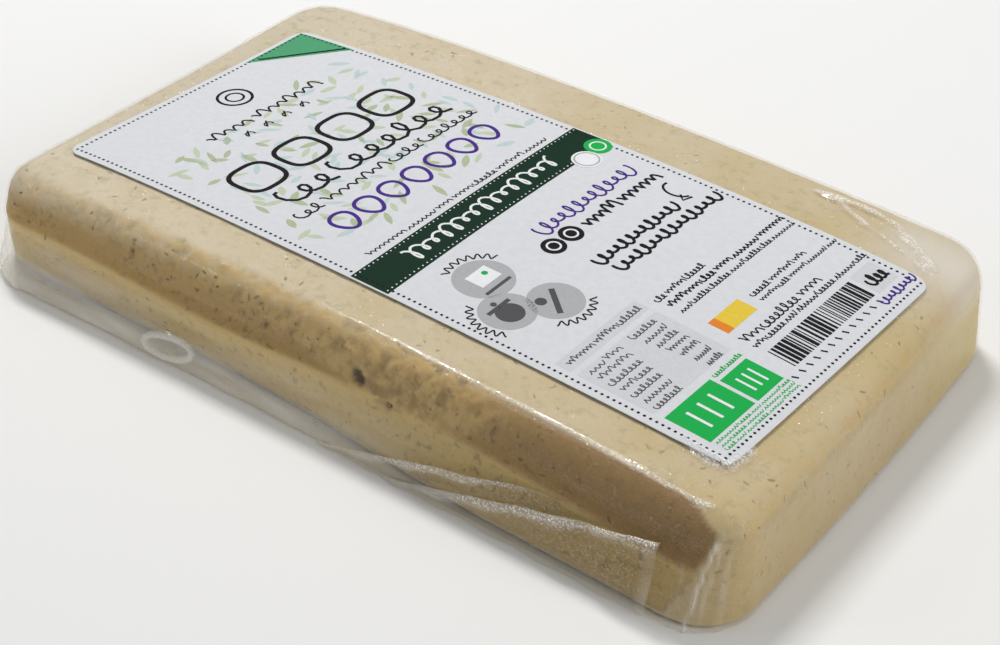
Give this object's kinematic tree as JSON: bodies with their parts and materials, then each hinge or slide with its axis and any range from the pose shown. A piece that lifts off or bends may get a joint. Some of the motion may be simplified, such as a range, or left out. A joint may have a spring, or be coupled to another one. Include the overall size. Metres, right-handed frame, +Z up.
{
  "type": "vacuum-packed tofu block",
  "caption": "Flat block of pressed tofu with herb flecks, shrunk into clear vacuum film, with a rounded rectangular label on its upper face.",
  "frame": {"origin": "middle of the flat base on which the pack lies", "axes": "+X along the block towards the end nearest the bar stripes on the label, +Y away from the long side with the folded-down film, +Z up through the label"},
  "size_m": [0.1444, 0.0876, 0.0199],
  "materials": {
    "tofu": "satin",
    "label_paper": "satin",
    "clear_film": "gloss",
    "herb": "matte",
    "ink": "satin"
  },
  "bodies": {
    "root": {"sealed_pack": "tofu", "label": "label_paper"}
  },
  "joints": []
}
